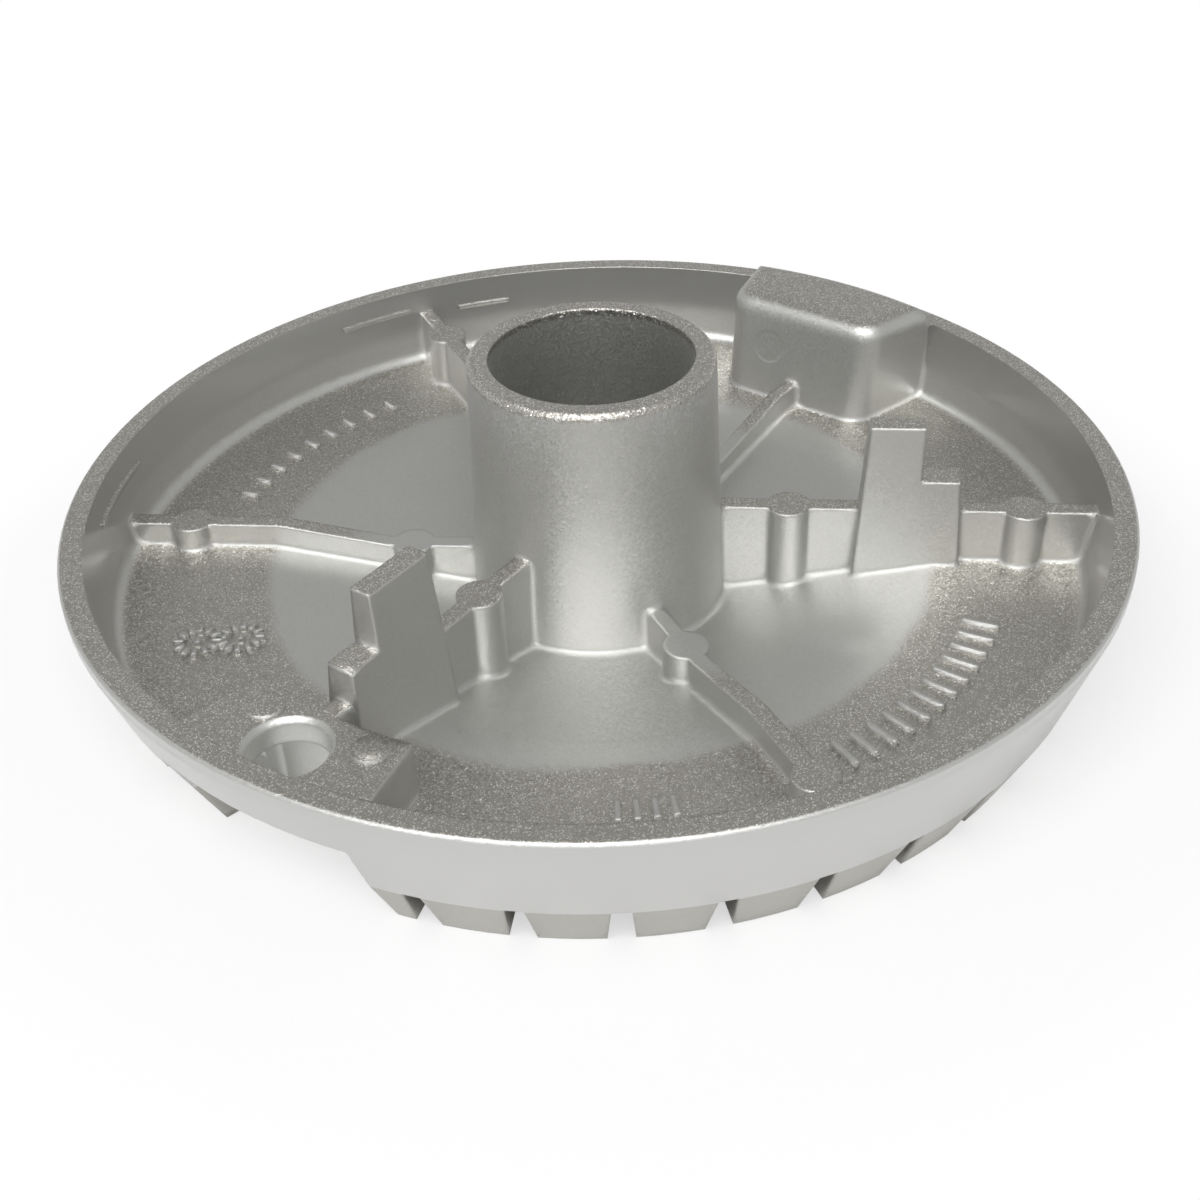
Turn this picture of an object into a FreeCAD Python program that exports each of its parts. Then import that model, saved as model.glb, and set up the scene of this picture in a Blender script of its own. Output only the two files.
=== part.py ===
import FreeCAD
import Part
import Sketcher
import math
import os

Vector = FreeCAD.Vector
Rotation = FreeCAD.Rotation
Placement = FreeCAD.Placement

# Cast burner head, lying on its crown with the mixing tube upward.
# Lengths in mm, angles in degrees. Azimuth 0 is the front, toward -Y, and grows toward +X.

SIZES = [
    ("head_height", 15.4, "crown seat to rim flat"),
    ("rim_radius", 50.0, "outer edge of the rim"),
    ("rim_bevel", 0.25, "bevel on the outer edge of the rim"),
    ("rim_land", 1.2, "straight land below the rim flat"),
    ("rim_flat", 2.2, "width of the rim flat"),
    ("band_inset", 2.8, "the rim's edge to the lower edge of the skirt"),
    ("band_low_height", 5.4, "height of the lower edge of the skirt"),
    ("crown_inset", 5.3, "the rim's edge to the outside of the crown at the seat"),
    ("crown_inner_inset", 8.8, "the rim's edge to the inside of the crown at the seat"),
    ("crown_ceiling_inset", 9.2, "the rim's edge to the inside of the crown at the ceiling"),
    ("dish_depth", 8.3, "rim flat to the outer floor of the dish"),
    ("dish_inset", 3.5, "the rim's edge to the foot of the dish wall"),
    ("crease_inset", 17.7, "the rim's edge to where the sloping floor begins"),
    ("dish_drop", 3.7, "fall of the sloping floor to the tube"),
    ("floor_thickness", 1.8, "dish floor"),
    ("tube_height", 28.3, "crown seat to the mouth of the tube"),
    ("tube_radius", 11.4, "outside of the tube at its mouth"),
    ("tube_base_radius", 12.3, "outside of the tube at the floor"),
    ("bore_radius", 9.5, "straight bore at the mouth"),
    ("bore_length", 7.0, "depth of the straight bore"),
    ("throat_radius", 9.0, "narrowest part of the venturi"),
    ("flare_bevel", 2.6, "bevel at the gas outlet"),
    ("tube_bevel", 0.4, "bevel on the mouth of the tube"),
    ("wall_foot_round", 1.5, "rounding between the wall of the dish and the floor"),
    ("rib_azimuth", 24.0, "first rib, the others follow at a sixth of a turn"),
    ("box_azimuth", 141.5, "middle of the thermocouple box"),
    ("tall_rib_drop", 2.7, "rim flat to the top of the tall ribs"),
    ("low_rib_drop", 5.8, "rim flat to the top of the low ribs"),
    ("low_rib_inner_drop", 7.8, "the same near the tube"),
    ("low_rib_bend", 31.5, "radius where the low rib starts to fall"),
    ("low_rib_bend_end", 21.0, "radius where it stops falling"),
    ("thin_rib_drop", 5.7, "rim flat to the thin rib at the box"),
    ("thin_rib_inner_drop", 10.4, "the same at the tube"),
    ("rib_width", 1.7, "thickness of a rib"),
    ("thin_rib_width", 1.4, "thickness of the rib behind the tube"),
    ("pad_radius", 2.1, "ejector pads"),
    ("pad_inner_radius", 18.4, "inner ring of ejector pads"),
    ("pad_inset", 9.4, "the rim's edge to the outer ring of ejector pads"),
    ("fin_rise", 6.2, "top of a fin above the rim flat"),
    ("fin_step_rise", 0.7, "step of a fin above the rim flat"),
    ("fin_width", 4.0, "fin at the floor"),
    ("fin_draft", 3.5, "draft of the fins"),
    ("fin_start", 24.6, "inner end of a fin at the floor"),
    ("right_fin_inset", 19.4, "the rim's edge to the tall part of the right fin"),
    ("right_step_inset", 15.2, "the rim's edge to the step of the right fin"),
    ("front_fin_inset", 17.2, "the rim's edge to the tall part of the front fin"),
    ("front_step_inset", 13.2, "the rim's edge to the step of the front fin"),
    ("hole_inset", 7.0, "the rim's edge to the middle of the electrode hole"),
    ("hole_radius", 3.4, "electrode hole"),
    ("hole_flare", 0.45, "bevel at the electrode hole"),
    ("block_half_angle", 12.3, "block round the electrode hole"),
    ("block_inset", 12.0, "the rim's edge to the block's inner face"),
    ("block_lean", 0.2, "how far the block's inner face leans back"),
    ("bay_roof", 2.4, "metal above the electrode bay"),
    ("bay_half_angle", 9.0, "electrode bay"),
    ("bay_inset", 10.8, "the rim's edge to the inner end of the electrode bay"),
    ("notch_left", 47.6, "gap in the skirt, left of the front"),
    ("gap_inset", 8.4, "the rim's edge to the bottom of the gap"),
    ("notch_draft", 6.0, "draft of the gap"),
    ("tooth_gap_right", 22.8, "first tooth beside the gap"),
    ("relief_angle", 26.0, "raw part of the skirt beside the gap"),
    ("raw_inset", 6.0, "the rim's edge to the raw part at the seat"),
    ("raw_top_inset", 1.7, "the rim's edge to the raw part where it meets the skirt"),
    ("relief_height", 9.2, "top of the raw part"),
    ("box_rise", 2.5, "top of the box above the rim flat"),
    ("box_front_inset", 13.2, "the rim's edge to the front of the box at its top"),
    ("box_foot_inset", 14.7, "the same at the floor"),
    ("box_back_inset", 3.7, "the rim's edge to the back of the box at its top"),
    ("box_back_low_inset", 3.1, "the same at the rim's level"),
    ("box_half_angle", 13.6, "sides of the box"),
    ("box_corner", 2.8, "upright corners of the box"),
    ("box_edge_round", 1.5, "top edges of the box"),
    ("hollow_half_angle", 9.5, "hollow of the box"),
    ("hollow_inner_inset", 11.7, "the rim's edge to the inner side of the hollow"),
    ("hollow_outer_inset", 7.4, "the rim's edge to the outer side of the hollow"),
    ("hollow_roof", 2.4, "metal above the hollow"),
    ("slot_count", 33, "flame ports"),
    ("slot_pitch", 10.0, "angle between flame ports"),
    ("slot_azimuth", 19.2, "first flame port, left of the front"),
    ("slot_height", 5.5, "flame port, seat to root"),
    ("slot_root_width", 1.6, "flame port at the root"),
    ("slot_tip_width", 2.3, "flame port at the seat"),
    ("slot_inset", 12.5, "the rim's edge to the inner end of a flame port"),
    ("slot_length", 14.0, "length of the cut"),
]

doc = FreeCAD.newDocument("burner_head")
sheet = doc.addObject("Spreadsheet::Sheet", "sizes")
for row, (alias, number, note) in enumerate(SIZES, start=1):
    sheet.set("A%d" % row, alias)
    sheet.set("B%d" % row, str(number))
    sheet.set("C%d" % row, note)
    sheet.setAlias("B%d" % row, alias)
doc.recompute()

NUMBERS = {alias: float(number) for alias, number, note in SIZES}


class Size:
    """A length or angle: its number, and the sheet expression that gives it."""

    def __init__(self, text, number):
        self.text = text
        self.number = number

    def join(self, sign, other):
        other = other if isinstance(other, Size) else Size(repr(float(other)), float(other))
        if sign == "+":
            number = self.number + other.number
        elif sign == "-":
            number = self.number - other.number
        elif sign == "*":
            number = self.number * other.number
        else:
            number = self.number / other.number
        return Size("(%s %s %s)" % (self.text, sign, other.text), number)

    def __add__(self, other):
        return self.join("+", other)

    def __sub__(self, other):
        return self.join("-", other)

    def __mul__(self, other):
        return self.join("*", other)

    def __truediv__(self, other):
        return self.join("/", other)

    def __neg__(self):
        return Size("0.0", 0.0) - self


def size(alias):
    return Size("sizes." + alias, NUMBERS[alias])


def sine(angle):
    return Size("sin(%s)" % angle.text, math.sin(math.radians(angle.number)))


def cosine(angle):
    return Size("cos(%s)" % angle.text, math.cos(math.radians(angle.number)))


def tangent(angle):
    return Size("tan(%s)" % angle.text, math.tan(math.radians(angle.number)))


ZERO = Size("0.0", 0.0)

rim_level = size("head_height")
dish_level = rim_level - size("dish_depth")
tube_floor_level = dish_level - size("dish_drop")
ceiling_level = dish_level - size("floor_thickness")
inner_ceiling_level = tube_floor_level - size("floor_thickness")
rib_root_level = dish_level - size("floor_thickness") * 0.5
tall_rib_level = rim_level - size("tall_rib_drop")

# Radii that follow the rim.
rim_inner_radius = size("rim_radius") - size("rim_flat")
band_low_radius = size("rim_radius") - size("band_inset")
crown_outer_radius = size("rim_radius") - size("crown_inset")
crown_inner_radius = size("rim_radius") - size("crown_inner_inset")
crown_ceiling_radius = size("rim_radius") - size("crown_ceiling_inset")
dish_radius = size("rim_radius") - size("dish_inset")
crease_radius = size("rim_radius") - size("crease_inset")
pad_outer_radius = size("rim_radius") - size("pad_inset")
right_fin_radius = size("rim_radius") - size("right_fin_inset")
right_step_radius = size("rim_radius") - size("right_step_inset")
front_fin_radius = size("rim_radius") - size("front_fin_inset")
front_step_radius = size("rim_radius") - size("front_step_inset")
hole_circle_radius = size("rim_radius") - size("hole_inset")
block_radius = size("rim_radius") - size("block_inset")
bay_radius = size("rim_radius") - size("bay_inset")
gap_radius = size("rim_radius") - size("gap_inset")
raw_radius = size("rim_radius") - size("raw_inset")
raw_top_radius = size("rim_radius") - size("raw_top_inset")
box_front_radius = size("rim_radius") - size("box_front_inset")
box_foot_radius = size("rim_radius") - size("box_foot_inset")
box_back_radius = size("rim_radius") - size("box_back_inset")
box_back_low_radius = size("rim_radius") - size("box_back_low_inset")
hollow_inner_radius = size("rim_radius") - size("hollow_inner_inset")
hollow_outer_radius = size("rim_radius") - size("hollow_outer_inset")
slot_inner_radius = size("rim_radius") - size("slot_inset")

body = doc.addObject("PartDesign::Body", "burner_head")
body.Label = "burner_head"


def plane(role):
    """One of the body's own origin planes."""
    for feature in body.Origin.OriginFeatures:
        if feature.Role == role:
            return feature
    raise ValueError(role)


def put_expression(thing, path, value):
    thing.setExpression(path, value.text)


def new_sketch(name, role, turn=None, lift=None, turn_axis="y", reach=None):
    """A sketch on an origin plane, turned about the upright axis and shifted."""
    sketch = body.newObject("Sketcher::SketchObject", name)
    sketch.AttachmentSupport = [(plane(role), "")]
    sketch.MapMode = "FlatFace"
    angle = turn.number if turn else 0.0
    axis = Vector(0, 1, 0) if turn_axis == "y" else Vector(0, 0, 1)
    base = Vector(0, 0, lift.number) if lift else Vector(0, 0, 0)
    if reach:
        base = Vector(reach.number * math.sin(math.radians(angle)), 0,
                      reach.number * math.cos(math.radians(angle)))
    sketch.AttachmentOffset = Placement(base, Rotation(axis, angle))
    if turn:
        put_expression(sketch, "AttachmentOffset.Rotation.Angle", turn)
    if lift:
        put_expression(sketch, "AttachmentOffset.Base.z", lift)
    if reach:
        put_expression(sketch, "AttachmentOffset.Base.x", reach * sine(turn))
        put_expression(sketch, "AttachmentOffset.Base.z", reach * cosine(turn))
    return sketch


def pin(sketch, geometry, point, across, up):
    """Fix one point of a sketch by its two distances from the origin."""
    for kind, value in (("DistanceX", across), ("DistanceY", up)):
        if value is ZERO:
            axis = -2 if kind == "DistanceX" else -1
            sketch.addConstraint(Sketcher.Constraint("PointOnObject", geometry, point, axis))
            continue
        index = sketch.addConstraint(
            Sketcher.Constraint(kind, -1, 1, geometry, point, value.number))
        put_expression(sketch, "Constraints[%d]" % index, value)


def outline(sketch, points, arcs=None):
    """A closed outline through the points. An entry of arcs turns one side into an arc
    about a centre that is given as a pair of sizes."""
    arcs = arcs or {}
    count = len(points)
    spots = [Vector(across.number, up.number, 0) for across, up in points]
    for side in range(count):
        start = spots[side]
        end = spots[(side + 1) % count]
        if side in arcs:
            (centre_across, centre_up), turning = arcs[side]
            centre = Vector(centre_across.number, centre_up.number, 0)
            radius = (start - centre).Length
            first = math.atan2(start.y - centre.y, start.x - centre.x)
            last = math.atan2(end.y - centre.y, end.x - centre.x)
            if turning == "clockwise":
                first, last = last, first
            circle = Part.Circle(centre, Vector(0, 0, 1), radius)
            sketch.addGeometry(Part.ArcOfCircle(circle, first, last), False)
        else:
            sketch.addGeometry(Part.LineSegment(start, end), False)

    def ends(side):
        if side in arcs and arcs[side][1] == "clockwise":
            return 2, 1
        return 1, 2

    for side in range(count):
        following = (side + 1) % count
        sketch.addConstraint(Sketcher.Constraint(
            "Coincident", side, ends(side)[1], following, ends(following)[0]))
    for side in range(count):
        pin(sketch, side, ends(side)[0], points[side][0], points[side][1])
    for side in arcs:
        # the two ends already stand at the same distance, so one coordinate is enough
        centre_across, centre_up = arcs[side][0]
        if centre_across is ZERO and centre_up is ZERO:
            sketch.addConstraint(Sketcher.Constraint("PointOnObject", side, 3, -2))
        else:
            index = sketch.addConstraint(Sketcher.Constraint(
                "DistanceX", -1, 1, side, 3, centre_across.number))
            put_expression(sketch, "Constraints[%d]" % index, centre_across)


def polar(radius, angle):
    """A point on the level plane, seen from above."""
    return radius * sine(angle), -(radius * cosine(angle))


def sector(sketch, inner, outer, left, right):
    """A ring sector between two radii and two azimuths, seen from above."""
    points = [polar(inner, left), polar(outer, left), polar(outer, right), polar(inner, right)]
    anticlockwise = right.number > left.number
    arcs = {1: ((ZERO, ZERO), "anticlockwise" if anticlockwise else "clockwise"),
            3: ((ZERO, ZERO), "clockwise" if anticlockwise else "anticlockwise")}
    outline(sketch, points, arcs)


def pad(name, sketch, length, taper=None, both=False, reverse=False):
    feature = body.newObject("PartDesign::Pad", name)
    feature.Profile = sketch
    feature.Length = length.number
    put_expression(feature, "Length", length)
    if both:
        feature.Midplane = True
    if reverse:
        feature.Reversed = True
    if taper:
        feature.TaperAngle = taper.number
        put_expression(feature, "TaperAngle", taper)
    sketch.Visibility = False
    body.Tip = feature
    return feature


def pocket(name, sketch, length, taper=None, reverse=False):
    feature = body.newObject("PartDesign::Pocket", name)
    feature.Profile = sketch
    feature.Length = length.number
    put_expression(feature, "Length", length)
    if reverse:
        feature.Reversed = True
    if taper:
        feature.TaperAngle = taper.number
        put_expression(feature, "TaperAngle", taper)
    sketch.Visibility = False
    body.Tip = feature
    return feature


def volume_now():
    doc.recompute()
    return body.Shape.Volume


def must_grow(feature, before):
    after = volume_now()
    if after <= before:
        raise ValueError("%s adds nothing" % feature.Label)
    return after


def must_shrink(feature, before):
    after = volume_now()
    if after >= before:
        raise ValueError("%s cuts nothing" % feature.Label)
    return after


def fillet(name, edges, radius):
    """Round the given edges of the body as it stands."""
    base = body.Tip
    feature = body.newObject("PartDesign::Fillet", name)
    feature.Base = (base, edges)
    feature.Radius = radius.number
    put_expression(feature, "Radius", radius)
    body.Tip = feature
    doc.recompute()
    return feature


def edges_where(test):
    """Names of the edges whose middle point and ends pass the test."""
    names = []
    for number, edge in enumerate(body.Shape.Edges, start=1):
        if edge.Length < 0.01 or len(edge.Vertexes) < 1:
            continue
        middle = edge.valueAt((edge.FirstParameter + edge.LastParameter) / 2)
        if test(edge, middle):
            names.append("Edge%d" % number)
    return names


def azimuth_of(point):
    return math.degrees(math.atan2(point.x, -point.y))


def apart(first, second):
    """Angle between two azimuths."""
    return abs((first - second + 180.0) % 360.0 - 180.0)


def is_upright(edge):
    low = min(vertex.Z for vertex in edge.Vertexes)
    high = max(vertex.Z for vertex in edge.Vertexes)
    flat = math.hypot(edge.Vertexes[0].X - edge.Vertexes[-1].X,
                      edge.Vertexes[0].Y - edge.Vertexes[-1].Y)
    return high - low > 1.5 * flat and high - low > 1.0


# The turned body: rim, skirt, crown, ceiling, venturi tube and dish.
turned_sketch = new_sketch("turned_outline", "XZ_Plane", turn=size("rib_azimuth") - 60.0)
bore_end_level = size("tube_height") - size("bore_length")
flare_level = inner_ceiling_level + size("flare_bevel")
flare_outer_radius = size("throat_radius") + size("flare_bevel")
turned_points = [
    (size("bore_radius"), size("tube_height")),
    (size("tube_radius") - size("tube_bevel"), size("tube_height")),
    (size("tube_radius"), size("tube_height") - size("tube_bevel")),
    (size("tube_base_radius"), tube_floor_level),
    (crease_radius, dish_level),
    (dish_radius, dish_level),
    (rim_inner_radius, rim_level),
    (size("rim_radius") - size("rim_bevel"), rim_level),
    (size("rim_radius"), rim_level - size("rim_bevel")),
    (size("rim_radius"), rim_level - size("rim_land")),
    (band_low_radius, size("band_low_height")),
    (crown_outer_radius, ZERO),
    (crown_inner_radius, ZERO),
    (crown_ceiling_radius, ceiling_level),
    (crease_radius, ceiling_level),
    (flare_outer_radius, inner_ceiling_level),
    (size("throat_radius"), flare_level),
    (size("bore_radius"), bore_end_level),
]
outline(turned_sketch, turned_points)
turned = body.newObject("PartDesign::Revolution", "turned_body")
turned.Profile = turned_sketch
turned.ReferenceAxis = (turned_sketch, ["V_Axis"])
turned.Angle = 360.0
turned_sketch.Visibility = False
body.Tip = turned
doc.recompute()

wall_foot_edges = edges_where(
    lambda edge, middle: abs(math.hypot(middle.x, middle.y) - dish_radius.number) < 0.01
    and abs(middle.z - dish_level.number) < 0.01)
fillet("wall_foot", wall_foot_edges, size("wall_foot_round"))
metal = volume_now()


# Raised pieces of the dish, each a piece of a ring that follows the leaning wall.
def ring_piece(name, azimuth, half_angle, points):
    """A part turned through a few degrees about the tube's axis."""
    sketch = new_sketch(name + "_outline", "XZ_Plane", turn=azimuth - 90.0)
    outline(sketch, points)
    feature = body.newObject("PartDesign::Revolution", name)
    feature.Profile = sketch
    feature.ReferenceAxis = (sketch, ["V_Axis"])
    feature.Angle = (half_angle * 2.0).number
    put_expression(feature, "Angle", half_angle * 2.0)
    feature.Midplane = True
    sketch.Visibility = False
    body.Tip = feature
    return feature


root_in_wall = dish_radius + 0.5
top_in_wall = rim_inner_radius + 0.2
sixth = 60.0
front_right = size("rib_azimuth")
right = front_right + sixth
left = front_right - 2 * sixth
front_left = front_right - sixth
back_left = front_right - 3 * sixth

# The block that carries the electrode hole, and the wall under it that closes off the
# electrode bay.
block_left = front_left - size("block_half_angle")
block_right = front_left + size("block_half_angle")
metal = must_grow(ring_piece("electrode_block", front_left, size("block_half_angle"), [
    (block_radius, rib_root_level),
    (root_in_wall, rib_root_level),
    (top_in_wall, tall_rib_level),
    (block_radius + size("block_lean"), tall_rib_level)]), metal)
bay_wall_sketch = new_sketch("bay_wall_outline", "XY_Plane")
sector(bay_wall_sketch, block_radius, crown_inner_radius + 0.6,
       block_left, block_right)
metal = must_grow(pad("bay_wall", bay_wall_sketch, rib_root_level), metal)

# The thermocouple box behind the tube stands above the rim and has a flat leaning front.
half_box = size("box_half_angle")
box_top = rim_level + size("box_rise")
box_inner = box_foot_radius - 1.0
metal = must_grow(ring_piece("thermocouple_box", size("box_azimuth"), half_box, [
    (box_inner, rib_root_level),
    (root_in_wall, rib_root_level),
    (top_in_wall, rim_level),
    (box_back_low_radius, rim_level),
    (box_back_radius, box_top),
    (box_inner, box_top)]), metal)
front_sketch = new_sketch("box_front_outline", "XZ_Plane", turn=size("box_azimuth") - 90.0)
outline(front_sketch, [
    (box_inner - 1.0, dish_level),
    (box_foot_radius, dish_level),
    (box_front_radius, box_top),
    (box_inner - 1.0, box_top)])
front_cut = pocket("box_front", front_sketch, box_front_radius * tangent(half_box) * 2.0 + 4.0)
front_cut.Midplane = True
metal = must_shrink(front_cut, metal)


# Ribs: six, a sixth of a turn apart. Each is drawn from the side and thickened.
def rib(name, azimuth, width, tops):
    """An upright rib from the tube to the wall, with its top through the given points."""
    start = size("tube_base_radius") - 0.9
    end = dish_radius + 0.5
    wall = rim_inner_radius - 0.1
    sketch = new_sketch(name + "_outline", "XZ_Plane", turn=azimuth - 90.0)
    points = [(start, tube_floor_level - size("floor_thickness") * 0.5),
              (crease_radius, rib_root_level),
              (end, rib_root_level)]
    points += [(wall if across is None else start if across is ZERO else across, up)
               for across, up in tops]
    outline(sketch, points)
    return pad(name, sketch, width, both=True)


low_level = rim_level - size("low_rib_drop")
low_inner_level = rim_level - size("low_rib_inner_drop")
tall_top = [(None, tall_rib_level), (ZERO, tall_rib_level)]
low_top = [(None, low_level), (size("low_rib_bend"), low_level),
           (size("low_rib_bend_end"), low_inner_level), (ZERO, low_inner_level)]
for name, azimuth, tops in (
        ("front_left_rib", front_left, tall_top),
        ("front_right_rib", front_right, low_top),
        ("right_rib", right, tall_top),
        ("left_rib", left, low_top),
        ("back_left_rib", back_left, tall_top)):
    metal = must_grow(rib(name, azimuth, size("rib_width"), tops), metal)

thin_top = [(None, rim_level - size("thin_rib_drop")),
            (crease_radius, rim_level - size("thin_rib_drop")),
            (ZERO, rim_level - size("thin_rib_inner_drop"))]
metal = must_grow(rib("box_rib", size("box_azimuth"), size("thin_rib_width"), thin_top), metal)


# Ejector pads: round bosses on the ribs, level with their tops.
def floor_at(radius):
    """Height of the sloping floor."""
    slope = size("dish_drop") / (crease_radius - size("tube_base_radius"))
    return dish_level - (crease_radius - radius) * slope


def round_pad(name, radius, azimuth, bottom, top):
    sketch = new_sketch(name + "_outline", "XY_Plane", turn=azimuth - 90.0, lift=bottom,
                        turn_axis="z")
    sketch.addGeometry(
        Part.Circle(Vector(radius.number, 0, 0), Vector(0, 0, 1),
                    size("pad_radius").number), False)
    pin(sketch, 0, 3, radius, ZERO)
    index = sketch.addConstraint(Sketcher.Constraint("Radius", 0, size("pad_radius").number))
    put_expression(sketch, "Constraints[%d]" % index, size("pad_radius"))
    return pad(name, sketch, top - bottom)


inner_root = floor_at(size("pad_inner_radius")) - size("floor_thickness") * 0.45
for name, azimuth, inner_top, outer_top in (
        ("front_left_pad", front_left, tall_rib_level, None),
        ("front_right_pad", front_right, low_inner_level, low_level),
        ("right_pad", right, tall_rib_level, tall_rib_level),
        ("left_pad", left, low_inner_level, low_level),
        ("back_left_pad", back_left, tall_rib_level, tall_rib_level)):
    feature = round_pad(name + "_inner", size("pad_inner_radius"), azimuth, inner_root, inner_top)
    metal = must_grow(feature, metal)
    if outer_top:
        feature = round_pad(name + "_outer", pad_outer_radius, azimuth,
                            rib_root_level, outer_top)
        metal = must_grow(feature, metal)


# Centring fins: drafted blades on two of the ribs, each stepped down at its outer end.
def blade(name, azimuth, end):
    """A drafted blade on a rib, from fin_start outward."""
    bottom = dish_level - size("floor_thickness") * 0.9
    sketch = new_sketch(name + "_outline", "XY_Plane", turn=azimuth - 90.0, lift=bottom,
                        turn_axis="z")
    half = size("fin_width") * 0.5
    start = size("fin_start")
    outline(sketch, [(start, -half), (end, -half), (end, half), (start, half)])
    return pad(name, sketch, fin_top - bottom, taper=-size("fin_draft"))


def blade_step(name, azimuth, start, end):
    """Cuts the outer end of a blade down to its step."""
    sketch = new_sketch(name + "_outline", "XZ_Plane", turn=azimuth - 90.0)
    above = fin_top + 1.0
    beyond = end + 1.0
    outline(sketch, [(start, fin_step), (beyond, fin_step), (beyond, above), (start, above)])
    feature = pocket(name, sketch, size("fin_width") + 2.0)
    feature.Midplane = True
    return feature


fin_top = rim_level + size("fin_rise")
fin_step = rim_level + size("fin_step_rise")
for name, azimuth, step, end in (
        ("right_fin", right, right_fin_radius, right_step_radius),
        ("front_fin", front_left, front_fin_radius, front_step_radius)):
    metal = must_grow(blade(name, azimuth, end), metal)
    metal = must_shrink(blade_step(name + "_step", azimuth, step, end), metal)


# Rounded corners of the box.
def near_box(edge, middle):
    reach = math.hypot(middle.x, middle.y)
    return (apart(azimuth_of(middle), NUMBERS["box_azimuth"]) < NUMBERS["box_half_angle"] + 2.0
            and reach > box_foot_radius.number - 0.5)


box_uprights = edges_where(
    lambda edge, middle: near_box(edge, middle) and is_upright(edge)
    and math.hypot(middle.x, middle.y) < crown_inner_radius.number
    and max(vertex.Z for vertex in edge.Vertexes) > rim_level.number + 1.0)
fillet("box_corners", box_uprights, size("box_corner"))
box_top_edges = edges_where(
    lambda edge, middle: near_box(edge, middle)
    and min(vertex.Z for vertex in edge.Vertexes) > rim_level.number + 1.5)
fillet("box_top_edges", box_top_edges, size("box_edge_round"))
metal = volume_now()

# Electrode bay below the block, open to the crown seat and to the front.
bay_top = tall_rib_level - size("bay_roof")
bay_sketch = new_sketch("electrode_bay_outline", "XY_Plane")
sector(bay_sketch, bay_radius, gap_radius + 1.0,
       front_left - size("bay_half_angle"), front_left + size("bay_half_angle"))
bay = pocket("electrode_bay", bay_sketch, bay_top, reverse=True)
metal = must_shrink(bay, metal)

# Gap in the crown and skirt in front of the bay.
gap_left = -size("notch_left")
gap_sketch = new_sketch("skirt_gap_outline", "XY_Plane")
sector(gap_sketch, gap_radius, size("rim_radius") + 3.0, gap_left - 1.2,
       -size("tooth_gap_right"))
gap = pocket("skirt_gap", gap_sketch, bay_top, taper=-size("notch_draft"), reverse=True)
metal = must_shrink(gap, metal)

# The raw part of the skirt beside the gap stands back from the machined cone.
relief_sketch = new_sketch("raw_part_outline", "XZ_Plane", turn=gap_left - 90.0)
outline(relief_sketch,
        [(raw_radius, ZERO), (size("rim_radius") + 2.0, ZERO),
         (size("rim_radius") + 2.0, size("relief_height")),
         (raw_top_radius, size("relief_height"))])
relief = body.newObject("PartDesign::Groove", "raw_part")
relief.Profile = relief_sketch
relief.ReferenceAxis = (relief_sketch, ["V_Axis"])
relief.Angle = NUMBERS["relief_angle"]
put_expression(relief, "Angle", size("relief_angle"))
relief.Reversed = True
relief_sketch.Visibility = False
body.Tip = relief
metal = must_shrink(relief, metal)

# Electrode hole, bevelled at its upper edge.
hole_across, hole_up = polar(hole_circle_radius, front_left)
hole_sketch = new_sketch("electrode_hole_outline", "XY_Plane", lift=tall_rib_level)
hole_sketch.addGeometry(
    Part.Circle(Vector(hole_across.number, hole_up.number, 0), Vector(0, 0, 1),
                NUMBERS["hole_radius"]), False)
pin(hole_sketch, 0, 3, hole_across, hole_up)
hole_index = hole_sketch.addConstraint(
    Sketcher.Constraint("Radius", 0, NUMBERS["hole_radius"]))
put_expression(hole_sketch, "Constraints[%d]" % hole_index, size("hole_radius"))
hole = pocket("electrode_hole", hole_sketch, size("bay_roof") + 1.0)
metal = must_shrink(hole, metal)
hole_rim = edges_where(
    lambda edge, middle: abs(middle.z - tall_rib_level.number) < 0.01
    and edge.Curve.TypeId == "Part::GeomCircle"
    and abs(edge.Curve.Radius - NUMBERS["hole_radius"]) < 0.01)
bevel = body.newObject("PartDesign::Chamfer", "electrode_hole_bevel")
bevel.Base = (hole, hole_rim)
bevel.Size = NUMBERS["hole_flare"]
put_expression(bevel, "Size", size("hole_flare"))
body.Tip = bevel
metal = must_shrink(bevel, metal)

# Hollow of the thermocouple box, open to the crown seat.
hollow_sketch = new_sketch("box_hollow_outline", "XY_Plane")
sector(hollow_sketch, hollow_inner_radius, hollow_outer_radius,
       size("box_azimuth") - size("hollow_half_angle"),
       size("box_azimuth") + size("hollow_half_angle"))
hollow = pocket("box_hollow", hollow_sketch,
                box_top - size("hollow_roof"), reverse=True)
metal = must_shrink(hollow, metal)

# Flame ports: one drafted slot, repeated round the crown except at the gap.
slot_sketch = new_sketch("flame_port_outline", "XZ_Plane", turn=-size("slot_azimuth"),
                         reach=slot_inner_radius)
half_root = size("slot_root_width") * 0.5
half_tip = size("slot_tip_width") * 0.5
outline(slot_sketch, [(-half_tip, ZERO), (half_tip, ZERO), (half_root, size("slot_height")),
                      (-half_root, size("slot_height"))])
slot = pocket("flame_port", slot_sketch, size("slot_length"), reverse=True)
metal = must_shrink(slot, metal)
slots = body.newObject("PartDesign::PolarPattern", "flame_ports")
slots.Originals = [slot]
slots.Axis = (plane("Z_Axis"), [""])
slots.Angle = (NUMBERS["slot_count"] - 1) * NUMBERS["slot_pitch"]
put_expression(slots, "Angle", (size("slot_count") - 1.0) * size("slot_pitch"))
slots.Occurrences = int(NUMBERS["slot_count"])
put_expression(slots, "Occurrences", size("slot_count"))
body.Tip = slots
metal = must_shrink(slots, metal)

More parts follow.
